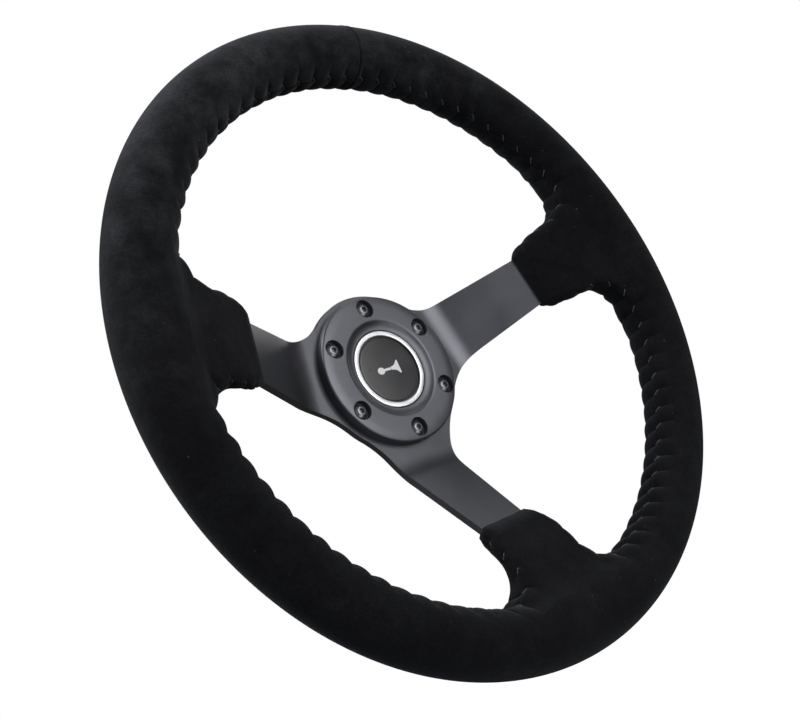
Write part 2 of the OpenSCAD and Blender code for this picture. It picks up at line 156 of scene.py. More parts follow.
def new_object(name, mesh):
    """An object in the scene with a mesh."""
    obj = bpy.data.objects.new(name, mesh)
    bpy.context.scene.collection.objects.link(obj)
    return obj


def mesh_object(name, points, faces, smooth=True):
    """An object from lying points and faces."""
    mesh = bpy.data.meshes.new(name)
    mesh.from_pydata(stand(points).tolist(), [], [list(map(int, f)) for f in faces])
    mesh.shade_smooth() if smooth else mesh.shade_flat()
    mesh.update()
    return new_object(name, mesh)


def turned(points, degrees):
    """Points turned about the wheel's axis."""
    a = math.radians(degrees)
    p = np.asarray(points, float)
    x = p[:, 0] * math.cos(a) - p[:, 1] * math.sin(a)
    y = p[:, 0] * math.sin(a) + p[:, 1] * math.cos(a)
    return np.stack([x, y, p[:, 2]], 1)


def apply_modifiers(obj):
    """Puts an object's modifiers into its mesh."""
    depsgraph = bpy.context.evaluated_depsgraph_get()
    mesh = bpy.data.meshes.new_from_object(obj.evaluated_get(depsgraph))
    obj.modifiers.clear()
    obj.data = mesh


def bevel(obj, width, segments=2, angle=30):
    """Rounds an object's sharp edges by a width in millimetres."""
    m = obj.modifiers.new("bevel", "BEVEL")
    m.width = width * MM
    m.segments = segments
    m.limit_method = "ANGLE"
    m.angle_limit = math.radians(angle)
    m.harden_normals = True
    m.use_clamp_overlap = True
    apply_modifiers(obj)


def cut(obj, cutters):
    """Takes closed meshes away from an object."""
    for cutter in cutters:
        m = obj.modifiers.new("cut", "BOOLEAN")
        m.operation = "DIFFERENCE"
        m.solver = "EXACT"
        m.object = cutter
    apply_modifiers(obj)
    for cutter in cutters:
        bpy.data.objects.remove(cutter)


def drum(name, radius, bottom, top, centre=(0, 0), sides=96):
    """A closed cylinder along z."""
    a = circle(sides)
    ring = np.stack([centre[0] + radius * np.cos(a), centre[1] + radius * np.sin(a)], 1)
    low = np.column_stack([ring, np.full(sides, bottom)])
    high = np.column_stack([ring, np.full(sides, top)])
    around = [(i, (i + 1) % sides, sides + (i + 1) % sides, sides + i) for i in range(sides)]
    ends = [tuple(range(sides - 1, -1, -1)), tuple(range(sides, 2 * sides))]
    return mesh_object(name, np.concatenate([low, high]), around + ends, smooth=False)


def lathe(name, profile, sides=192):
    """Turns a closed profile of (radius, z) points about the axis. A radius of 0 closes there."""
    a = circle(sides)
    points, rows = [], []
    for radius, z in profile:
        if radius < 1e-6:
            rows.append([len(points)] * sides)
            points.append((0, 0, z))
        else:
            rows.append(list(range(len(points), len(points) + sides)))
            points += list(zip(radius * np.cos(a), radius * np.sin(a), np.full(sides, z)))
    faces = []
    for k in range(len(rows)):
        low, high = rows[k], rows[(k + 1) % len(rows)]
        if low[0] == low[1] and high[0] == high[1]:
            continue
        for i in range(sides):
            j = (i + 1) % sides
            faces.append(list(dict.fromkeys([low[i], low[j], high[j], high[i]])))
    return mesh_object(name, points, faces)


def arc(centre, radius, start, end, steps=10):
    """Points along an arc, angles in degrees."""
    turns = [math.radians(a) for a in np.linspace(start, end, steps + 1)]
    return [(centre[0] + radius * math.cos(a), centre[1] + radius * math.sin(a)) for a in turns]


def join(name, objects):
    """Several mesh objects as one."""
    merged = bmesh.new()
    for obj in objects:
        merged.from_mesh(obj.data)
    mesh = bpy.data.meshes.new(name)
    merged.to_mesh(mesh)
    merged.free()
    for obj in objects:
        bpy.data.objects.remove(obj)
    return new_object(name, mesh)


def smooth_by_angle(obj, degrees=35):
    """Smooth shading with the edges sharper than an angle kept sharp."""
    mesh = obj.data
    mesh.shade_smooth()
    work = bmesh.new()
    work.from_mesh(mesh)
    for edge in work.edges:
        edge.smooth = len(edge.link_faces) == 2 and edge.calc_face_angle(0) < math.radians(degrees)
    work.to_mesh(mesh)
    work.free()


# ---- Materials ----

class Tree:
    """Short ways to add shader nodes to a tree."""

    def __init__(self, tree):
        self.tree = tree

    def add(self, kind, links=(), **settings):
        node = self.tree.nodes.new("ShaderNode" + kind)
        for key, value in settings.items():
            setattr(node, key, value)
        for socket, value in dict(links).items():
            self.put(node.inputs[socket], value)
        return node

    def put(self, socket, value):
        if isinstance(value, bpy.types.NodeSocket):
            self.tree.links.new(value, socket)
        else:
            socket.default_value = value

    def position(self):
        return self.add("TexCoord").outputs["Object"]

    def noise(self, size, detail=2.0, rough=0.5, distortion=0.0):
        """Noise with features about size millimetres across."""
        return self.add("TexNoise", {"Vector": self.position(), "Scale": 1 / (size * MM),
                                     "Detail": detail, "Roughness": rough,
                                     "Distortion": distortion}).outputs["Fac"]

    def ramp(self, value, low, high, to_low=0.0, to_high=1.0):
        """A value stretched from low..high to to_low..to_high, and held there past them."""
        return self.add("MapRange", {"Value": value, "From Min": low, "From Max": high,
                                     "To Min": to_low, "To Max": to_high}).outputs["Result"]

    def math(self, operation, a, b=0.0):
        return self.add("Math", {0: a, 1: b}, operation=operation).outputs[0]

    def mix(self, share, a, b):
        links = {"Factor": share, "A": a, "B": b}
        return self.add("Mix", links, data_type="RGBA").outputs["Result"]

    def bump(self, height, distance, normal=None):
        """A bump of a height of 0 to 1 times distance millimetres."""
        node = self.add("Bump", {"Height": height, "Distance": distance * MM, "Strength": 1.0})
        if normal:
            self.put(node.inputs["Normal"], normal)
        return node.outputs["Normal"]


class Nodes(Tree):
    """A new material, with constants set on its shader."""

    def __init__(self, name, **values):
        self.material = bpy.data.materials.new(name)
        self.material.use_nodes = True
        super().__init__(self.material.node_tree)
        self.shader = self.tree.nodes["Principled BSDF"]
        self.use(**values)

    def use(self, **sockets):
        """Links or sets the shader's sockets, and gives the material."""
        for key, value in sockets.items():
            self.put(self.shader.inputs[key.replace("_", " ")], value)
        return self.material


def grey(value, tint=(1, 1, 1)):
    """A colour of one brightness, slightly tinted."""
    return (value * tint[0], value * tint[1], value * tint[2], 1)


def suede_material():
    """Black suede: a short nap that lies in soft patches, with painted light that makes it lighter over the
    upper left, and lint.
    """
    n = Nodes("suede", Roughness=0.95, Sheen_Weight=0.07, Sheen_Roughness=0.45,
              Sheen_Tint=(0.86, 0.9, 1.0, 1), Specular_IOR_Level=0.08)
    patches = n.noise(26, 3, distortion=0.6)
    mottle = n.noise(9, 5, rough=0.62)
    grain = n.noise(0.55, 3, rough=0.6)
    nap = n.math("ADD", n.math("MULTIPLY", patches, 0.55), n.math("MULTIPLY", mottle, 0.45))
    split = n.add("SeparateXYZ", {0: n.position()}).outputs
    upper = n.math("MULTIPLY", split["Z"], 0.95)
    across = n.math("SUBTRACT", upper, n.math("MULTIPLY", split["X"], 0.35))
    # Painted light: the colours grow lighter towards the upper left, where the lamps fall on the rim.
    painted_upper_light = n.ramp(n.math("ADD", across, n.math("MULTIPLY", patches, 0.08)), 0.09, 0.2)
    low = n.mix(painted_upper_light, grey(0.0055, (1, 1, 1.15)), grey(0.011, (0.9, 1, 1.1)))
    high = n.mix(painted_upper_light, grey(0.012, (0.97, 1, 1.12)), grey(0.044, (0.97, 1.0, 1.07)))
    colour = n.mix(n.ramp(nap, 0.4, 0.66), low, high)
    fleck = n.noise(2.6, 4, rough=0.7)
    colour = n.mix(n.ramp(fleck, 0.3, 0.62), n.mix(0.45, colour, grey(0.002)), colour)
    colour = n.mix(n.ramp(grain, 0.35, 0.7), n.mix(0.6, colour, grey(0.001)), colour)
    lint = n.add("TexVoronoi", {"Vector": n.position(), "Scale": 1 / (6 * MM)})
    speck = n.ramp(lint.outputs["Distance"], 0.055, 0.03)
    colour = n.mix(n.math("MULTIPLY", speck, n.ramp(mottle, 0.45, 0.6, 0.1, 0.7)), colour, grey(0.16))
    normal = n.bump(mottle, 0.35)
    normal = n.bump(n.noise(1.6, 3, rough=0.6), 0.2, normal=normal)
    normal = n.bump(grain, 0.16, normal=normal)
    return n.use(Base_Color=colour, Normal=normal)


def thread_material():
    """Black waxed thread."""
    n = Nodes("black_thread", Roughness=0.55, Specular_IOR_Level=0.5, Sheen_Weight=0.15)
    fibre = n.noise(0.18, 2)
    colour = n.mix(fibre, grey(0.018), grey(0.065))
    return n.use(Base_Color=colour, Normal=n.bump(fibre, 0.05))


def alloy_material(name, shade, rough, tint=(0.94, 0.96, 1.06)):
    """Satin black coating over blasted metal."""
    n = Nodes(name, Metallic=0.9)
    cloud = n.noise(22, 3)
    grain = n.noise(0.35, 3, rough=0.6)
    colour = n.mix(cloud, grey(shade * 0.88, tint), grey(shade * 1.12, tint))
    wear = n.noise(2.5, 5, rough=0.7)
    colour = n.mix(n.ramp(wear, 0.62, 0.78), colour, grey(shade * 1.5, tint))
    roughness = n.math("ADD", n.ramp(cloud, 0.3, 0.7, rough - 0.04, rough + 0.04),
                       n.ramp(grain, 0.3, 0.7, -0.04, 0.04))
    return n.use(Base_Color=colour, Roughness=roughness, Normal=n.bump(grain, 0.02))


def plain_material(name, colour, rough, metallic=0.0, grain=0.4, depth=0.02, spread=0.12, **values):
    """A plain solid colour with a fine surface grain and uneven roughness."""
    n = Nodes(name, Metallic=metallic, **values)
    cloud = n.noise(9, 3)
    fine = n.noise(grain, 3)
    low = grey(1 - spread, colour)
    high = grey(1 + spread, colour)
    roughness = n.ramp(cloud, 0.3, 0.7, rough - 0.05, rough + 0.05)
    return n.use(Base_Color=n.mix(cloud, low, high), Roughness=roughness, Normal=n.bump(fine, depth))


MATERIALS = {
    "suede": suede_material(),
    "thread": thread_material(),
    "satin_black_alloy": alloy_material("satin_black_alloy", 0.105, 0.4),
    # Painted light: the clamp ring's copy of the satin black alloy is lighter, standing in for the light
    # its face catches.
    "ring_alloy_painted_lighter": alloy_material("ring_alloy_painted_lighter", 0.125, 0.46),
}
for plain, colour, rough, others in (
        ("black_steel", (0.2, 0.2, 0.215), 0.34, {"metallic": 0.9}),
        ("plain_steel", (0.55, 0.55, 0.57), 0.32, {"metallic": 1.0}),
        ("black_plastic", (0.02, 0.02, 0.021), 0.5, {"grain": 0.7, "depth": 0.04}),
        ("gasket_rubber", (0.018, 0.018, 0.018), 0.8, {"grain": 0.6, "depth": 0.05}),
        ("foam", (0.03, 0.03, 0.03), 0.85, {"grain": 1.2, "depth": 0.15}),
        ("bright_bezel", (0.86, 0.86, 0.88), 0.34, {"metallic": 1.0, "spread": 0.04, "depth": 0.004}),
        ("gloss_black_cap", (0.028, 0.028, 0.03), 0.32,
         {"depth": 0.003, "Coat_Weight": 0.3, "Coat_Roughness": 0.2}),
        ("contact_brass", (0.66, 0.47, 0.2), 0.3, {"metallic": 1.0}),
        ("insulator", (0.24, 0.11, 0.045), 0.55, {"grain": 0.8, "depth": 0.03}),
        ("print_ink", (0.72, 0.73, 0.74), 0.45, {"depth": 0.004, "spread": 0.04})):
    MATERIALS[plain] = plain_material(plain, colour, rough, **others)
replaced = set()


def finish_piece(obj, material, body, slot, *nodes):
    """Gives a piece its material and its body, and hides the CAD nodes that it stands for. Its slot is not
    used.
    """
    obj.data.materials.clear()
    obj.data.materials.append(MATERIALS[material])
    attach(obj, body)
    if nodes:
        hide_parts(*nodes)
        replaced.update(nodes)


# ---- Grip: rim and boots as one soft form ----

BOOT_FULL = 11.0  # distance over which a boot swells to its full size
BOOT_HALF_WIDTH = 20.1  # half width past the shoulder
BOOT_FLARE = 0.28  # widening from there on, for each millimetre out
BOOT_FILLET = 17.0  # radius of the curve into the rim's inside
BOOT_PADDING = 5.0  # over each face of the spoke, past the shoulder
BOOT_NEAR = 15.0  # how far inside its hem a boot's distance still counts
RIM_INSIDE = RIM_RADIUS - GRIP
# Directions along and across the sloping part of a spoke, seen from the side.
UP = np.array([math.cos(SLOPE), math.sin(SLOPE)])
ACROSS = np.array([-math.sin(SLOPE), math.cos(SLOPE)])
HEM = np.array([BOOT_START, PLATE / 2 + (BOOT_START - HUB_BEND) * math.tan(SLOPE)])


def seam_height(s):
    """Height of the seam's line along a boot's side, at a distance from the centre."""
    rise = np.interp(s, [HEM[0], 112, 126, 134], [0, 13, 21.5, DISH + 2.5 - HEM[1]])
    return HEM[1] + rise


def curve_through(points, steps=6):
    """A smooth line through points, by Catmull-Rom."""
    p = np.asarray(points, float)
    p = np.vstack([2 * p[0] - p[1], p, 2 * p[-1] - p[-2]])
    out = []
    for i in range(1, len(p) - 2):
        for t in np.linspace(0, 1, steps, endpoint=False):
            out.append(0.5 * (2 * p[i] + (p[i + 1] - p[i - 1]) * t
                              + (2 * p[i - 1] - 5 * p[i] + 4 * p[i + 1] - p[i + 2]) * t ** 2
                              + (3 * p[i] - p[i - 1] - 3 * p[i + 1] + p[i + 2]) * t ** 3))
    return np.array(out + [p[-2]])


def swell(e):
    """Share of a boot's full size at a distance past its hem."""
    q = np.clip(1 - e / BOOT_FULL, 0, 1)
    return (1 - q * q) ** 1.1


def boot_face(side):
    """A boot's front (1) or back (-1) seen from the side, from its hem to the rim."""
    shoulder = []
    for e in np.array([0, 0.06, 0.15, 0.3, 0.5, 0.75, 1]) * BOOT_FULL:
        cover = BOOT_COVER + (BOOT_PADDING - BOOT_COVER) * swell(e)
        shoulder.append(HEM + UP * e + ACROSS * side * (PLATE / 2 + cover))
    if side > 0:
        rest = [(RIM_BEND, TAB_MIDDLE + 6.4), (RIM_RADIUS - 27, DISH + 3), (RIM_RADIUS - 12, DISH + 10),
                (RIM_RADIUS, DISH + 13)]
    else:
        rest = [(RIM_BEND + 4, TAB_MIDDLE - 6.4), (RIM_RADIUS - 24, DISH - 14.5),
                (RIM_RADIUS - 10, DISH - 13.5), (RIM_RADIUS, DISH - 12)]
    return np.vstack([np.array(shoulder[:-1]), curve_through([shoulder[-1]] + rest)])


FRONT_FACE, BACK_FACE = boot_face(1), boot_face(-1)
SIDE_OUTLINE = np.vstack([FRONT_FACE, BACK_FACE[::-1]])


def polygon_distance(x, y, polygon):
    """Signed distance to a polygon, below zero inside."""
    best = np.full(x.shape, 1e9)
    inside = np.zeros(x.shape, bool)
    for a, b in zip(polygon, np.roll(polygon, -1, 0)):
        edge = b - a
        px, py = x - a[0], y - a[1]
        t = np.clip((px * edge[0] + py * edge[1]) / (edge @ edge), 0, 1)
        best = np.minimum(best, (px - t * edge[0]) ** 2 + (py - t * edge[1]) ** 2)
        if a[1] != b[1]:
            crosses = (a[1] > y) != (b[1] > y)
            inside ^= crosses & (px < edge[0] * py / edge[1])
    return np.where(inside, -1, 1) * np.sqrt(best)


FILLET = tangent_centre(BOOT_HALF_WIDTH - BOOT_FLARE * (BOOT_START + BOOT_FULL), BOOT_FLARE,
                        BOOT_FILLET, RIM_INSIDE - BOOT_FILLET)
FILLET_FOOT = FILLET + BOOT_FILLET / math.sqrt(1 + BOOT_FLARE ** 2) * np.array([BOOT_FLARE, -1])


def boot_width(e):
    """Half width at a distance past the hem, as far as the fillet."""
    narrow = spoke_edge(BOOT_START) + BOOT_COVER
    return narrow + (BOOT_HALF_WIDTH - narrow) * swell(e) + BOOT_FLARE * np.maximum(e - BOOT_FULL, 0)


def boot_distance(s, w, z):
    """Signed distance to one boot, and how far in from its sides. s runs out along the spoke."""
    w = np.abs(w)
    side = polygon_distance(s, z, SIDE_OUTLINE)
    slanted = ((s - HEM[0]) * UP[0] + (z - HEM[1]) * UP[1]) / UP[0]
    share = np.clip((s - BOOT_START - 5) / 20, 0, 1)
    e = slanted + (s - BOOT_START - slanted) * share * share * (3 - 2 * share)
    straight = w - boot_width(e)
    curved = BOOT_FILLET - np.hypot(s - FILLET[0], w - FILLET[1])
    past_foot = (s - FILLET_FOOT[0]) + (w - FILLET_FOOT[1]) * BOOT_FLARE > 0
    plan = np.where(past_foot, curved, straight)
    past_rim = (w * FILLET[0] - s * FILLET[1]) / np.hypot(*FILLET)
    inside = RIM_INSIDE + 0.3 * np.maximum(past_rim, 0) - np.hypot(s, w)
    plan = np.where(past_rim > 0, np.maximum(inside, curved), plan)
    plan = np.maximum(plan, np.hypot(s, w) - RIM_RADIUS)
    behind = np.clip((seam_height(s) - z) / 5, 0, 1) * np.clip(e / 16, 0, 1)
    corner = 1.2 + 4.3 * np.clip(e / 9, 0, 1) ** 0.7 + 4.0 * behind
    a, b = side + corner, plan + corner
    distance = np.minimum(np.maximum(a, b), 0) + np.hypot(np.maximum(a, 0), np.maximum(b, 0)) - corner
    return distance, -plan


def smooth_min(a, b, reach):
    """The lower of two distances, with the crease filled in over a reach."""
    h = np.maximum(reach - np.abs(a - b), 0) / reach
    return np.minimum(a, b) - h * h * reach / 4


def rim_distance(p):
    """Signed distance to the plain rim."""
    return np.hypot(np.hypot(p[:, 0], p[:, 1]) - RIM_RADIUS, p[:, 2] - DISH) - GRIP


def grip_distance(p):
    """Signed distance to the whole grip."""
    d = rim_distance(p)
    for angle in SPOKE_ANGLES:
        q = turned(p, -angle)
        near = (q[:, 0] > BOOT_START - BOOT_NEAR) & (np.abs(q[:, 1]) < 70) & (q[:, 0] < RIM_RADIUS + 1)
        if near.any():
            boot, depth = boot_distance(q[near, 0], q[near, 1], q[near, 2])
            d[near] = smooth_min(d[near], boot, 1.0 + 6.0 * np.clip(depth / 14, 0, 1))
    return d


def gradient(field, p, step=0.05):
    """How a distance field changes along x, y and z at points."""
    out = np.empty_like(p)
    for axis in range(3):
        ahead, behind = p.copy(), p.copy()
        ahead[:, axis] += step
        behind[:, axis] -= step
        out[:, axis] = (field(ahead) - field(behind)) / (2 * step)
    return out


def onto_surface(field, p, level=0.0, rounds=3):
    """Moves points onto a level of a distance field."""
    for _ in range(rounds):
        g = gradient(field, p)
        p = p - g * ((field(p) - level) / np.maximum((g * g).sum(1), 0.2))[:, None]
    return p


def surface_net(field, low, high, cell, level=0.0):
    """A quad mesh of a level of a distance field, one point in each cell that it crosses."""
    axes = [np.arange(a, b + cell, cell) for a, b in zip(low, high)]
    shape = tuple(len(a) for a in axes)
    grid = np.stack(np.meshgrid(*axes, indexing="ij"), -1).reshape(-1, 3)
    far = rim_distance(grid)
    want = np.abs(far - level) < 2.5 * cell
    for angle in SPOKE_ANGLES:
        q = turned(grid, -angle)
        want |= ((q[:, 0] > BOOT_START - 8) & (q[:, 0] < RIM_RADIUS) & (np.abs(q[:, 1]) < 62)
                 & (far > level - 8))
    values = far - level
    values[want] = field(grid[want]) - level
    v = values.reshape(shape)
    inside = v < 0
    count = np.zeros(tuple(n - 1 for n in shape), np.int32)
    total = np.zeros(count.shape + (3,))

    def corner(offset):
        return v[tuple(slice(o, o + n - 1) for o, n in zip(offset, shape))]

    for c in np.ndindex(2, 2, 2):
        for axis in range(3):
            if c[axis]:
                continue
            d = tuple(c[i] + (i == axis) for i in range(3))
            a, b = corner(c), corner(d)
            hit = (a < 0) != (b < 0)
            t = np.where(hit, a / np.where(hit, a - b, 1), 0)
            count += hit
            for i in range(3):
                total[..., i] += np.where(hit, c[i] + (t if i == axis else 0), 0)
    cells = np.argwhere(count > 0)
    index = -np.ones(count.shape, np.int64)
    index[tuple(cells.T)] = np.arange(len(cells))
    offset = total[tuple(cells.T)] / count[tuple(cells.T)][:, None]
    points = np.array(low) + (cells + offset) * cell
    quads = []
    for axis in range(3):
        u, w = (axis + 1) % 3, (axis + 2) % 3
        a, b = inside.take(range(shape[axis] - 1), axis), inside.take(range(1, shape[axis]), axis)
        edges = np.argwhere(a != b)
        edges = edges[(edges[:, u] > 0) & (edges[:, w] > 0)
                      & (edges[:, u] < shape[u] - 1) & (edges[:, w] < shape[w] - 1)]
        leaves = a[tuple(edges.T)]
        ring = []
        for du, dw in ((-1, -1), (0, -1), (0, 0), (-1, 0)):
            at = edges.copy()
            at[:, u] += du
            at[:, w] += dw
            ring.append(index[tuple(at.T)])
        ring = np.stack(ring, 1)
        ring[~leaves] = ring[~leaves][:, ::-1]
        quads.append(ring)
    return points, np.concatenate(quads)


# ---- Seams ----

STITCH_PITCH = 10.6  # distance between stitches
SEAM_LEAN = math.radians(11)  # from the rim's innermost line towards the driver
CROSS_SEAM = 83.5  # degrees, just clockwise of 12 o'clock
SEAM_REACH = 22.0  # how far a seam shapes the suede
FAR = 50.0  # stands for a distance past that
FRONT_FADE, BACK_FADE = 9.8, 19.0  # reach of the puckers on the rim, to the front and the back
FRONT_BOOT, BACK_BOOT = 3.6, 4.4  # and on the boots
PUCKER, BOOT_PUCKER = 1.7, 0.85  # how high they stand, on the rim and on the boots
PUCKER_LEVEL = 0.68  # share of a pucker that lies under the plain surface


def boot_side_line():
    """The seam from a boot's hem to the rim's inside, in the boot's own s, w and z."""
    e = np.linspace(0.3, FILLET_FOOT[0] - BOOT_START, 16)
    straight = np.column_stack([BOOT_START + e, boot_width(e)])
    foot = math.atan2(*(FILLET_FOOT - FILLET)[::-1])
    rim = math.atan2(*FILLET[::-1])
    a = np.linspace(foot, rim, 24)[1:]
    curved = FILLET + BOOT_FILLET * np.column_stack([np.cos(a), np.sin(a)])
    line = np.vstack([straight, curved])
    return np.column_stack([line, seam_height(line[:, 0])])


def distances(line):
    """How far along a line each of its points is."""
    return np.concatenate([[0], np.cumsum(np.linalg.norm(np.diff(line, axis=0), axis=1))])


def seam_lines():
    """The three stitched seams, one around each window, as evenly spaced points on the grip."""
    half = boot_side_line()
    turn = math.degrees(math.atan2(FILLET[1], FILLET[0]))
    lines = []
    for i, start in enumerate(SPOKE_ANGLES):
        end = SPOKE_ANGLES[(i + 1) % 3] + (360 if i == 2 else 0)
        a = np.radians(np.arange(start + turn + 0.5, end - turn, 0.5))
        inside = RIM_RADIUS - GRIP * math.cos(SEAM_LEAN)
        height = DISH + GRIP * math.sin(SEAM_LEAN)
        rim = np.column_stack([inside * np.cos(a), inside * np.sin(a), np.full(a.shape, height)])
        line = np.vstack([turned(half, start), rim, turned(half[::-1] * [1, -1, 1], end)])
        line = onto_surface(grip_distance, line)
        run = distances(line)
        even = np.arange(0, run[-1], 0.5)
        line = np.column_stack([np.interp(even, run, line[:, k]) for k in range(3)])
        kernel = np.ones(9) / 9
        soft = np.column_stack([np.convolve(np.pad(line[:, k], 4, mode="edge"), kernel, "valid")
                                for k in range(3)])
        lines.append(onto_surface(grip_distance, soft))
    return lines


class Seam:
    """One stitched seam: its line, and the directions along it, outwards and across it."""

    def __init__(self, line):
        self.line = line
        self.run = distances(line)
        self.count = round(self.run[-1] / STITCH_PITCH)
        self.pitch = self.run[-1] / self.count
        self.out = unit(gradient(grip_distance, line))
        self.along = unit(np.gradient(line, axis=0))
        self.across = np.cross(self.along, self.out)

    def at(self, stitches):
        """Place, direction along, outwards and across at a distance in stitches."""
        i = round(float(np.interp(stitches * self.pitch, self.run, np.arange(len(self.run)))))
        return self.line[i], self.along[i], self.out[i], self.across[i]


SEAMS = [Seam(line) for line in seam_lines()]


def seam_tree():
    """All the seams' points, for finding the nearest, and each one's seam and place in it."""
    owners = [(seam, i) for seam in SEAMS for i in range(len(seam.line))]
    tree = KDTree(len(owners))
    for number, (seam, i) in enumerate(owners):
        tree.insert(seam.line[i], number)
    tree.balance()
    return tree, owners


def seam_places(points):
    """For each point, its distance along the nearest seam in stitches, and across it in millimetres."""
    tree, owners = seam_tree()
    u, v = np.zeros(len(points)), np.full(len(points), FAR)
    near_torus = np.hypot(points[:, 0], points[:, 1]) < RIM_INSIDE + 12
    for i in np.flatnonzero(near_torus):
        _, index, distance = tree.find(points[i])
        if distance > SEAM_REACH + 3:
            continue
        seam, k = owners[index]
        d = points[i] - seam.line[k]
        u[i] = (seam.run[k] + d @ seam.along[k]) / seam.pitch
        v[i] = math.copysign(distance, d @ seam.across[k])
    return u, v


def seam_swell(points, u, v):
    """How far the suede stands out near a stitched seam: a groove between lobes, small on the boots."""
    phase = u - 0.16 * np.tanh(v / 1.5)
    lobe = np.abs(np.sin(np.pi * phase)) ** 0.7
    on_rim = np.clip((np.hypot(points[:, 0], points[:, 1]) - 131) / 10, 0, 1)
    front = FRONT_BOOT + (FRONT_FADE - FRONT_BOOT) * on_rim
    back = BACK_BOOT + (BACK_FADE - BACK_BOOT) * on_rim
    fade = np.exp(-(v / np.where(v > 0, front, back)) ** 4)
    uneven = 1 + 0.22 * np.sin(2.4 * np.floor(phase))
    height = (BOOT_PUCKER + (PUCKER - BOOT_PUCKER) * on_rim) * uneven
    groove = 0.55 * np.exp(-(v / 0.55) ** 2)
    return height * (lobe - PUCKER_LEVEL) * fade - groove


def cross_seam_swell(points):
    """The plain seam across the rim near 12 o'clock: a narrow groove between two low lips."""
    a = math.radians(CROSS_SEAM)
    x = points[:, 1] * math.cos(a) - points[:, 0] * math.sin(a)
    ahead = points[:, 0] * math.cos(a) + points[:, 1] * math.sin(a) > 0
    shape = 0.28 * np.exp(-((np.abs(x) - 1.5) / 0.9) ** 2) - 0.75 * np.exp(-(x / 0.5) ** 2)
    return np.where(ahead, shape, 0), np.where(ahead, x, FAR)


# ---- Suede, foam and thread ----

SKIN_CELL = 1.02
FOAM_CELL, FOAM_DEPTH = 2.6, 1.4
GRIP_BACK = 28.0  # a height behind the whole grip
THREAD = 0.23  # radius of one strand
SEAM_CELLS = ((9.0, 15.0, 4.0), (0.0, 0.0, 2.2))  # reach of each halving: front, back, cross seam
PANELS = {"rim_suede_left": (83.5, 203.5), "rim_suede_bottom": (203.5, 323.5),
          "rim_suede_right": (323.5, 443.5)}


def split_near_seams(points, quads):
    """Halves the faces near the seams, and puts the new corners on the surface."""
    mesh = bpy.data.meshes.new("skin")
    mesh.from_pydata(points.tolist(), [], quads.tolist())
    work = bmesh.new()
    work.from_mesh(mesh)
    bpy.data.meshes.remove(mesh)
    for front, back, cross_reach in SEAM_CELLS:
        work.verts.ensure_lookup_table()
        at = np.array([v.co for v in work.verts])
        _, v = seam_places(at)
        _, x = cross_seam_swell(at)
        close = ((v < front) & (v > -back)) | (np.abs(x) < cross_reach)
        edges = [e for e in work.edges if close[e.verts[0].index] and close[e.verts[1].index]]
        bmesh.ops.subdivide_edges(work, edges=edges, cuts=1, use_grid_fill=True)
        work.verts.index_update()
    at = np.array([v.co for v in work.verts])
    faces = [[v.index for v in f.verts] for f in work.faces]
    work.free()
    return onto_surface(grip_distance, at, rounds=2), faces


def vertex_normals(points, faces):
    """Each point's normal, the mean of its faces' by area."""
    corners = np.concatenate([np.asarray(f) for f in faces])
    sizes = np.array([len(f) for f in faces])
    starts = np.concatenate([[0], np.cumsum(sizes)[:-1]])
    a, b, c = (points[corners[starts + k]] for k in (0, 1, 2))
    d = points[corners[starts + np.minimum(3, sizes - 1)]]
    flat = np.cross(c - a, d - b)
    normals = np.zeros_like(points)
    owner = np.repeat(np.arange(len(faces)), sizes)
    np.add.at(normals, corners, flat[owner])
    return normals / np.maximum(np.linalg.norm(normals, axis=1), 1e-12)[:, None]


def make_suede():
    """The puckered suede, one skin in three panels that share their normals."""
    low = (-rim_high[0] - 2, -rim_high[0] - 2, GRIP_BACK)
    high = (rim_high[0] + 2, rim_high[0] + 2, DISH + GRIP + 2)
    points, quads = surface_net(grip_distance, low, high, SKIN_CELL)
    points = onto_surface(grip_distance, points)
    points, faces = split_near_seams(points, quads)
    u, v = seam_places(points)
    cross, _ = cross_seam_swell(points)
    out = unit(gradient(grip_distance, points))
    points = points + out * (seam_swell(points, u, v) + cross)[:, None]
    normals = vertex_normals(points, faces)
    centres = np.array([points[f].mean(0) for f in faces])
    angle = np.degrees(np.arctan2(centres[:, 1], centres[:, 0])) % 360
    for name, (start, end) in PANELS.items():
        mine = np.flatnonzero((angle - start) % 360 < (end - start))
        kept = [faces[i] for i in mine]
        used = np.unique(np.concatenate([np.asarray(f) for f in kept]))
        renumber = -np.ones(len(points), int)
        renumber[used] = np.arange(len(used))
        obj = mesh_object(name, points[used], [renumber[f] for f in kept])
        facing = stand(normals[used]) / MM
        obj.data.normals_split_custom_set_from_vertices(facing.tolist())
        finish_piece(obj, "suede", WHEEL, "suede", "suede_wrap")


def make_foam():
    """The foam under the suede, closed."""
    low = (-rim_high[0], -rim_high[0], GRIP_BACK)
    high = (rim_high[0], rim_high[0], DISH + GRIP)
    points, quads = surface_net(grip_distance, low, high, FOAM_CELL, -FOAM_DEPTH)
    points = onto_surface(grip_distance, points, -FOAM_DEPTH)
    obj = mesh_object("foam_core", points, quads)
    finish_piece(obj, "foam", WHEEL, "foam", "grip_foam")


def tube(line, outward, radius, sides=8):
    """Points and faces of a round bar along a line, with closed ends."""
    t = unit(np.gradient(line, axis=0))
    side = unit(np.cross(t, outward))
    up = np.cross(side, t)
    a = circle(sides)
    rings = line[:, None] + radius * (np.cos(a)[None, :, None] * side[:, None]
                                      + np.sin(a)[None, :, None] * up[:, None])
    faces = []
    for i in range(len(line) - 1):
        for k in range(sides):
            n = (k + 1) % sides
            faces.append([i * sides + k, (i + 1) * sides + k, (i + 1) * sides + n, i * sides + n])
    last = (len(line) - 1) * sides
    faces += [list(range(sides)), list(range(last + sides - 1, last - 1, -1))]
    return rings.reshape(-1, 3), faces


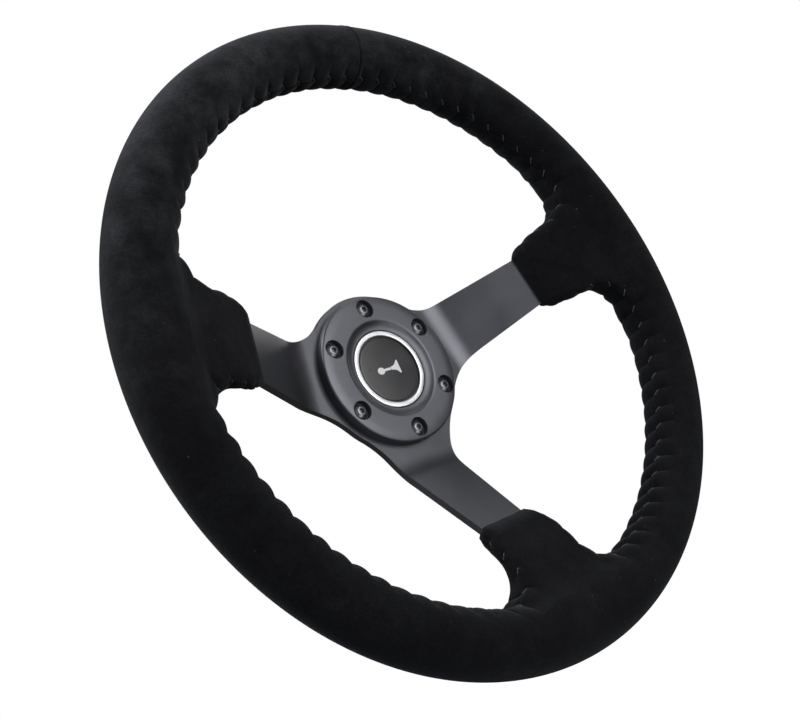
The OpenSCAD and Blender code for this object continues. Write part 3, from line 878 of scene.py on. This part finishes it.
def make_stitches():
    """Two-ply thread over the seams: one slanted stitch in each notch of the suede."""
    reach, slant, ply, twist = 1.7, 0.14, 0.2, 2.0
    points, faces = [], []
    for seam in SEAMS:
        for k in range(1, seam.count):
            place, along, out, across = seam.at(k)
            t = np.linspace(-1, 1, 15)
            depth = -0.95 + 0.4 * (1 - t ** 2) - 1.0 * np.clip(np.abs(t) - 0.72, 0, 1) / 0.28
            middle = (place + t[:, None] * (across * reach + along * slant * seam.pitch)
                      + depth[:, None] * out)
            length = 2 * math.hypot(reach, slant * seam.pitch)
            for strand in (0, math.pi):
                a = strand + np.pi * (t + 1) / 2 * length / twist * 2
                lift = ply * (np.cos(a)[:, None] * along + np.sin(a)[:, None] * out)
                p, f = tube(middle + lift, out, THREAD)
                start = sum(len(q) for q in points)
                faces += [[i + start for i in face] for face in f]
                points.append(p)
    obj = mesh_object("seam_thread", np.concatenate(points), faces)
    finish_piece(obj, "thread", WHEEL, "thread", "rim_stitching")


make_suede()
make_foam()
make_stitches()


# ---- Spoke frame ----

LOWER_ROOT, UPPER_ROOT = 52.0, 30.0  # radii of the curves from the hub into the spokes
ROOT_STEPS = 20  # points on each of them
TAB_REACH = 7.6  # how far the tabs go past the rim's middle line
BEND_START = HUB_BEND - BEND_RADIUS * math.tan(SLOPE / 2)
# Radius of the curve into the hub on each spoke's clockwise and counterclockwise side.
ROOTS = dict(zip(SPOKE_ANGLES, ((LOWER_ROOT, UPPER_ROOT), (UPPER_ROOT, LOWER_ROOT),
                                (LOWER_ROOT, LOWER_ROOT))))


def root_centre(radius):
    """Centre of the curve from the hub's edge into a spoke's edge."""
    return tangent_centre(spoke_edge(0), -TAPER, radius, HUB_RADIUS + radius)


def root_edge(s, radius):
    """Half width of a spoke, with the curve at its root."""
    x, y = root_centre(radius)
    foot = x - radius * TAPER / math.sqrt(1 + TAPER ** 2)
    return spoke_edge(s) if s > foot else y - math.sqrt(radius ** 2 - (s - x) ** 2)


def root_curve(radius):
    """Points from the hub's edge to where the spoke starts to bend."""
    centre = root_centre(radius)
    first = math.atan2(-centre[1], -centre[0])
    last = -math.acos((BEND_START - centre[0]) / radius)
    return [centre + radius * np.array([math.cos(a), math.sin(a)])
            for a in np.linspace(first, last, ROOT_STEPS)]


def bent_line(steps=16):
    """The middle of a spoke from the side: (s, z) points and their normals, hub to rim."""
    line, normals = [], []
    for kink, first, last in (((HUB_BEND, PLATE / 2), 0, SLOPE), ((RIM_BEND, TAB_MIDDLE), SLOPE, 0)):
        side = 1 if last > first else -1
        lean = (first + last) / 2
        up = np.array([-math.sin(lean), math.cos(lean)])
        centre = np.array(kink) + side * BEND_RADIUS / math.cos(SLOPE / 2) * up
        if side < 0:
            foot, n = line[-1], normals[-1]
            for along in (2.5, 5, 7.5, 10, 14):
                line.append(foot + along * np.array([n[1], -n[0]]))
                normals.append(n)
        for a in np.linspace(first, last, steps + 1):
            n = np.array([-math.sin(a), math.cos(a)])
            line.append(centre - side * BEND_RADIUS * n)
            normals.append(n)
    end = math.sqrt((RIM_RADIUS + TAB_REACH) ** 2 - spoke_edge(RIM_RADIUS) ** 2)
    line.append(np.array([end, TAB_MIDDLE]))
    normals.append(np.array([0, 1.0]))
    return line[1:], normals[1:]


def make_spoke_frame():
    """One plate: a hub disc that runs into three bent spokes, with its edges broken."""
    line, normals = bent_line()
    outline, points, faces = [], [], []

    def add(s, w, z, angle):
        points.append(turned([(s, w, z)], angle)[0])
        return len(points) - 1

    def both(s, w, angle):
        return add(s, w, PLATE, angle), add(s, w, 0, angle)

    roots = []
    for number, angle in enumerate(SPOKE_ANGLES):
        clockwise, counter = ROOTS[angle]
        outline += [both(s, -w, angle) for s, w in root_curve(clockwise)]
        low_side = outline[-1]
        outline += [both(s, w, angle) for s, w in reversed(root_curve(counter))]
        high_side = outline[-ROOT_STEPS]
        roots.append((low_side, high_side, angle))
        following = SPOKE_ANGLES[(number + 1) % 3]
        s, w = root_curve(counter)[0]
        start = angle + math.degrees(math.atan2(w, s))
        s, w = root_curve(ROOTS[following][0])[0]
        end = following + (360 if number == 2 else 0) - math.degrees(math.atan2(w, s))
        outline += [both(HUB_RADIUS, 0, a) for a in np.arange(start + 1.5, end - 0.75, 1.5)]
    faces.append([top for top, _ in outline])
    faces.append([bottom for _, bottom in reversed(outline)])
    root_edges = {(low[0], high[0]) for low, high, _ in roots}
    for a, b in zip(outline, outline[1:] + outline[:1]):
        if (a[0], b[0]) not in root_edges:
            faces.append([a[0], a[1], b[1], b[0]])
    for low_side, high_side, angle in roots:
        clockwise, counter = ROOTS[angle]
        row = [low_side[0], high_side[0], high_side[1], low_side[1]]
        for (s, z), n in zip(line, normals):
            fs, fz = np.array([s, z]) + n * PLATE / 2
            bs, bz = np.array([s, z]) - n * PLATE / 2
            new = [add(fs, -root_edge(fs, clockwise), fz, angle),
                   add(fs, root_edge(fs, counter), fz, angle),
                   add(bs, root_edge(bs, counter), bz, angle),
                   add(bs, -root_edge(bs, clockwise), bz, angle)]
            for k in range(4):
                faces.append([row[k], new[k], new[(k + 1) % 4], row[(k + 1) % 4]])
            row = new
        faces.append(row)
    obj = mesh_object("spoke_plate", points, faces, smooth=False)
    cutters = [drum("hub_hole", HUB_HOLE, -2, PLATE + 2, sides=160)]
    cutters += [drum("bolt_hole", BOLT_HOLE, -2, PLATE + 2, at, 40) for at in at_bolts()]
    cut(obj, cutters)
    smooth_by_angle(obj)
    bevel(obj, 0.45)
    finish_piece(obj, "satin_black_alloy", WHEEL, "satin_black_alloy", "spoke_frame")


make_spoke_frame()


# ---- Horn ring and screws ----

_, ring_high = lying_box("horn_ring")
RING_RADIUS, RING_FRONT = ring_high[0], ring_high[2]
RING_HOLE = 22.6
RING_SEAT, FLANGE_ROOM = 29.2, 2.6  # the step at its back over the housing's flange
RECESS_RADIUS, RECESS_DEPTH, MOUTH_ROUND = 28.5, 2.15, 2.5
COUNTERBORE, COUNTERBORE_FLOOR = 5.3, RING_FRONT - 3.4


def make_ring():
    """The clamp ring: a flat face that falls off at its edge, a dished middle and counterbores."""
    dish = RECESS_RADIUS - RING_HOLE
    turn = math.degrees(2 * math.atan(RECESS_DEPTH / dish))
    hollow = dish / math.sin(math.radians(turn)) - MOUTH_ROUND
    edge, dome, fall = 1.3, 28.0, 11.0
    lean = math.radians(fall)
    edge_at = (RING_RADIUS - edge, RING_FRONT - dome * (1 - math.cos(lean)) - edge * math.cos(lean))
    dome_at = (edge_at[0] + (edge - dome) * math.sin(lean), RING_FRONT - dome)
    profile = [(RING_HOLE, PLATE + FLANGE_ROOM), (RING_SEAT, PLATE + FLANGE_ROOM), (RING_SEAT, PLATE),
               (RING_RADIUS, PLATE)]
    profile += arc(edge_at, edge, 0, 90 - fall) + arc(dome_at, dome, 90 - fall, 90)[1:]
    profile += arc((RECESS_RADIUS, RING_FRONT - MOUTH_ROUND), MOUTH_ROUND, 90, 90 + turn)
    profile += arc((RING_HOLE, RING_FRONT - RECESS_DEPTH + hollow), hollow, 270 + turn, 270)[1:]
    obj = lathe("clamp_ring", profile, 240)
    cutters = []
    for at in at_bolts():
        cutters.append(drum("bore", BOLT_HOLE, PLATE - 2, RING_FRONT + 2, at, 40))
        cutters.append(drum("counterbore", COUNTERBORE, COUNTERBORE_FLOOR, RING_FRONT + 2, at, 64))
    cut(obj, cutters)
    smooth_by_angle(obj)
    bevel(obj, 0.22, segments=3, angle=40)
    # Painted light: the ring's material is the lighter copy of the satin black alloy.
    finish_piece(obj, "ring_alloy_painted_lighter", WHEEL, "satin_black_alloy", "horn_ring")


def screw_thread(radius, pitch, bottom, top, depth=0.45, sides=36):
    """A closed bar with a helical thread along it."""
    rows = int((top - bottom) / pitch * 10)
    points, faces = [], []
    for j in range(rows + 1):
        z = bottom + (top - bottom) * j / rows
        lead = min(1, (z - bottom) / 0.9)
        for k in range(sides):
            a = 2 * math.pi * k / sides
            wave = abs(((z / pitch - k / sides) % 1) * 2 - 1)
            r = radius - depth * wave - 0.5 * (1 - lead)
            points.append((r * math.cos(a), r * math.sin(a), z))
    for j in range(rows):
        for k in range(sides):
            n = (k + 1) % sides
            faces.append([j * sides + k, j * sides + n, (j + 1) * sides + n, (j + 1) * sides + k])
    faces += [list(range(sides - 1, -1, -1)), [rows * sides + k for k in range(sides)]]
    return points, faces


def make_screws():
    """Button-head socket screws with real threads behind the hub."""
    head, height, length = 4.7, 2.7, 16.0      # radius and height of the head, length under it
    flat, rim = 2.2, 0.3                       # radius of its flat top, height of its edge
    radius, pitch, shank_radius = 2.5, 0.8, 2.25
    drop = (head ** 2 - flat ** 2 - height ** 2 + rim ** 2) / (2 * (height - rim))
    dome = math.hypot(head, rim + drop)
    steep = math.degrees(math.atan2(rim + drop, head))
    top = math.degrees(math.acos(flat / dome))
    base = COUNTERBORE_FLOOR
    profile = [(0, base), (head - 0.15, base), (head, base + 0.15)]
    profile += [(r, base + z - drop) for r, z in arc((0, 0), dome, steep, top, 14)]
    profile += [(0, base + height)]
    made = lathe("screw_head", profile, 64)
    socket_radius, socket_depth = 3.0 / math.sqrt(3), 1.8
    cut(made, [drum("socket", socket_radius, base + height - socket_depth, base + height + 1, sides=6)])
    smooth_by_angle(made, 32)
    bevel(made, 0.12, angle=32)
    points, faces = screw_thread(radius, pitch, base - length, 0.0)
    thread = mesh_object("screw_thread", points, faces)
    shank = drum("screw_shank", shank_radius, -0.5, base + 0.05, sides=36)
    one = join("screw", [made, thread, shank])
    copies = []
    for x, y in at_bolts():
        mesh = one.data.copy()
        spun = Matrix.Rotation(0.5 * x + 0.3 * y, 4, "Y")
        mesh.transform(Matrix.Translation((x * MM, 0, y * MM)) @ spun)
        copies.append(new_object("screw_copy", mesh))
    bpy.data.objects.remove(one)
    finish_piece(join("button_head_screws", copies), "black_steel", WHEEL, "black_steel", "ring_screws")


make_ring()
make_screws()


# ---- Horn button ----

bezel_low, bezel_high = lying_box("bezel_ring")
cap_low, cap_high = lying_box("button_cap")
BEZEL, BEZEL_TOP = bezel_high[0], bezel_high[2]
BEZEL_HOLE, SKIRT_INSIDE = 19.3, 20.6
CAP, CAP_TOP, CAP_CROWN = cap_high[0], cap_high[2], 0.4


def cap_height(radius):
    """Height of the crowned cap at a radius."""
    return CAP_TOP - CAP_CROWN * (radius / CAP) ** 2


def make_bezel():
    """The bright ring around the cap, rounded at both edges, with a skirt."""
    edge, inner_edge, seat, foot = 0.6, 0.45, cap_low[2], bezel_low[2]
    profile = [(BEZEL_HOLE, seat), (SKIRT_INSIDE, seat), (SKIRT_INSIDE, foot), (BEZEL - 0.1, foot),
               (BEZEL, foot + 0.1)]
    profile += arc((BEZEL - edge, BEZEL_TOP - edge), edge, 0, 90, 8)
    profile += arc((BEZEL_HOLE + inner_edge, BEZEL_TOP - inner_edge), inner_edge, 90, 180, 6)
    obj = lathe("bright_ring", profile, 240)
    smooth_by_angle(obj, 40)
    finish_piece(obj, "bright_bezel", BUTTON, "bright_bezel", "bezel_ring")


def make_cap():
    """The crowned cap, with a groove between it and a thin lip inside the bezel."""
    edge, lip_width, groove = 0.5, 0.35, 0.9
    rim, lip, lip_top = CAP - 0.3, BEZEL_HOLE - 0.05, BEZEL_TOP - 0.35
    profile = [(0, cap_low[2]), (lip, cap_low[2]), (lip, lip_top), (lip - lip_width, lip_top),
               (lip - lip_width, lip_top - groove), (rim, lip_top - groove)]
    profile += arc((rim - edge, cap_height(rim - edge) - edge), edge, 0, 84, 8)
    profile += [(r, cap_height(r)) for r in np.linspace(rim - 2 * edge, 1, 24)]
    profile += [(0, CAP_TOP)]
    obj = lathe("crowned_cap", profile, 192)
    smooth_by_angle(obj, 40)
    finish_piece(obj, "gloss_black_cap", BUTTON, "gloss_black_cap", "button_cap")


def horn_pictogram():
    """A plain hand-horn: bell, pipe and a squeeze bulb, as flat outlines."""
    bell = [(1.0, 0.75), (2.6, 1.05), (4.2, 1.8), (5.6, 3.3), (6.3, 3.3)]
    bell = [tuple(p) for p in curve_through(bell)]
    bell += [(x, -y) for x, y in reversed(bell)]
    pipe = [(-3.1, -0.6), (0.75, -0.6), (0.75, 0.6), (-3.1, 0.6)]
    bulb = [(-5.2 + 2.1 * math.cos(a), 1.75 * math.sin(a)) for a in circle(40)]
    return [bell, pipe, bulb]


def make_pictogram():
    """The pictogram as a thin layer of ink on the cap."""
    parts, scale = [], 1.12
    for outline in horn_pictogram():
        outline = [(x * scale, y * scale) for x, y in outline]
        points, n = [], len(outline)
        for lift in (0.005, 0.04):
            points += [(x, y, cap_height(math.hypot(x, y)) + lift) for x, y in outline]
        faces = [list(range(n, 2 * n)), list(range(n - 1, -1, -1))]
        faces += [[i, (i + 1) % n, n + (i + 1) % n, n + i] for i in range(n)]
        part = mesh_object("ink", points, faces, smooth=False)
        work = bmesh.new()
        work.from_mesh(part.data)
        bmesh.ops.recalc_face_normals(work, faces=work.faces)
        bmesh.ops.triangulate(work, faces=[f for f in work.faces if len(f.verts) > 4])
        work.to_mesh(part.data)
        work.free()
        parts.append(part)
    finish_piece(join("horn_pictogram", parts), "print_ink", BUTTON, "gloss_black_cap")


make_bezel()
make_cap()
make_pictogram()


# ---- The CAD nodes that stay, and softened copies of those seen at the back ----

def softened(node, name, width):
    """A copy of a CAD node with its flat faces whole and its edges rounded."""
    work = bmesh.new()
    work.from_mesh(frame["nodes"][node].data)
    bmesh.ops.remove_doubles(work, verts=work.verts, dist=1e-6)
    bmesh.ops.dissolve_limit(work, angle_limit=math.radians(0.6), verts=work.verts, edges=work.edges)
    mesh = bpy.data.meshes.new(name)
    work.to_mesh(mesh)
    work.free()
    obj = new_object(name, mesh)
    smooth_by_angle(obj, 30)
    bevel(obj, width)
    return obj


record_slots = {part["node"]: part["material_slot"] for part in frame["record"]["subparts"]}
SOFTENED = {"button_housing": 0.3, "rear_cover": 0.25, "cover_screws": 0.12, "live_terminal": 0.12,
            "ground_terminal": 0.12, "ground_rivet": 0.15, "contact_stud": 0.15}
bodies = {node: body for body, nodes in frame["record"]["behaviour"]["bodies"].items()
          for node in nodes}
for node, obj in frame["nodes"].items():
    slot = record_slots[node]
    if node in SOFTENED:
        copy = softened(node, node + "_rounded", SOFTENED[node])
        finish_piece(copy, slot, bodies[node], slot, node)
    elif node not in replaced:
        obj.data.materials.clear()
        obj.data.materials.append(MATERIALS[slot])


# ---- Floor and light ----

def add_floor():
    """A plain pale floor, bright enough to meet the white around it with no line."""
    mesh = bpy.data.meshes.new("floor")
    half, height = 6.0, -0.75
    corners = [(x * half, y * half, height) for x, y in ((-1, -1), (1, -1), (1, 1), (-1, 1))]
    mesh.from_pydata(corners, [], [(0, 1, 2, 3)])
    floor = new_object("floor", mesh)
    floor.visible_diffuse = floor.visible_glossy = False
    n = Nodes("pale_floor", Roughness=0.9, Emission_Color=grey(1.0), Emission_Strength=0.9)
    floor.data.materials.append(n.use(Base_Color=n.mix(n.noise(900, 2), grey(0.78), grey(0.84))))


def add_lamp(name, place, size, power, colour=(1, 1, 1)):
    """A soft rectangular lamp that faces the wheel."""
    data = bpy.data.lights.new(name, "AREA")
    data.shape = "RECTANGLE"
    data.size, data.size_y = size
    data.energy = power
    data.color = colour
    lamp = new_object(name, data)
    lamp.location = place
    lamp.rotation_euler = (-Vector(place)).to_track_quat("-Z", "Y").to_euler()


def add_world():
    """White to the camera, and as light a soft grey that falls off downwards and to the right."""
    world = bpy.data.worlds.new("studio")
    world.use_nodes = True
    bpy.context.scene.world = world
    world.node_tree.nodes.clear()
    n = Tree(world.node_tree)
    split = n.add("SeparateXYZ", {0: n.add("TexCoord").outputs["Generated"]}).outputs
    strength = n.math("MULTIPLY", n.ramp(split["Z"], -1, 1, 0.12, 0.28),
                      n.ramp(split["X"], -0.6, 1, 1.15, 0.3))
    light = n.add("Background", {"Strength": strength})
    white = n.add("Background", {"Color": (1, 1, 1, 1)})
    mix = n.add("MixShader", {0: n.add("LightPath").outputs["Is Camera Ray"], 1: light.outputs[0],
                              2: white.outputs[0]})
    n.add("OutputWorld", {"Surface": mix.outputs[0]})


add_floor()
add_world()
COOL = (0.9, 0.95, 1.12)
LAMPS = {
    "front": ((0.3, -1.5, 0.25), (1.2, 1.2), 18),
    "left": ((-1.6, -0.75, 0.25), (0.8, 1.1), 10, COOL),
    "above": ((-0.9, 0.5, 1.3), (1.2, 1.0), 24),
    "below": ((0.0, -1.1, -1.0), (1.0, 0.7), 5),
    "behind": ((1.6, 0.9, 0.35), (0.8, 1.0), 6),
    "right": ((0.9, -0.2, 1.5), (0.9, 0.9), 7),
}
for lamp, settings in LAMPS.items():
    add_lamp(lamp, *settings)
bpy.context.scene.view_settings.view_transform = "Standard"
